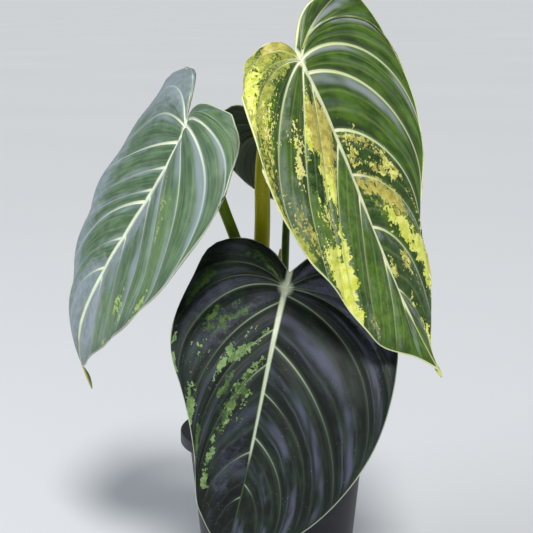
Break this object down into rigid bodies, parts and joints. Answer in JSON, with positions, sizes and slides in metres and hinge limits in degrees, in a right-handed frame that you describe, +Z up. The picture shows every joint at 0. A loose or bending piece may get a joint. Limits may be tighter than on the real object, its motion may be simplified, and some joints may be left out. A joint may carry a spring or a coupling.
{
  "type": "potted plant",
  "caption": "Potted climbing aroid with long heart-shaped hanging leaves, one of them variegated, in a tapered plastic nursery pot.",
  "frame": {"origin": "centre of the pot's flat underside", "axes": "+Z up along the pot's axis, -Y towards the front, where the dark leaf hangs over the pot"},
  "size_m": [0.1686, 0.1777, 0.2779],
  "materials": {
    "pot": "black moulded plastic, slightly satin",
    "soil": "dark brown bark and fibre mix, rough",
    "stem": "olive green with brown scars",
    "leaf_left": "silvery grey-green blade, pale cream veins",
    "petiole_left": "olive green, smooth",
    "leaf_right": "green blade with chartreuse, cream and tan sectors, pale veins",
    "petiole_right": "yellow olive, smooth",
    "leaf_front": "near black velvety blade, grey sheen on its ridges, light green flecks, cream veins",
    "petiole_front": "green, smooth",
    "leaf_back": "dark olive blade, paler underneath",
    "petiole_back": "green, smooth",
    "sheath": "pale yellow-green, satin"
  },
  "bodies": {
    "root": {"pot": "pot", "soil": "soil", "stem": "stem", "leaf_left_blade": "leaf_left", "leaf_left_petiole": "petiole_left", "leaf_right_blade": "leaf_right", "leaf_right_petiole": "petiole_right", "leaf_front_blade": "leaf_front", "leaf_front_petiole": "petiole_front", "leaf_back_blade": "leaf_back", "leaf_back_petiole": "petiole_back", "new_leaf_sheath": "sheath"}
  },
  "joints": []
}
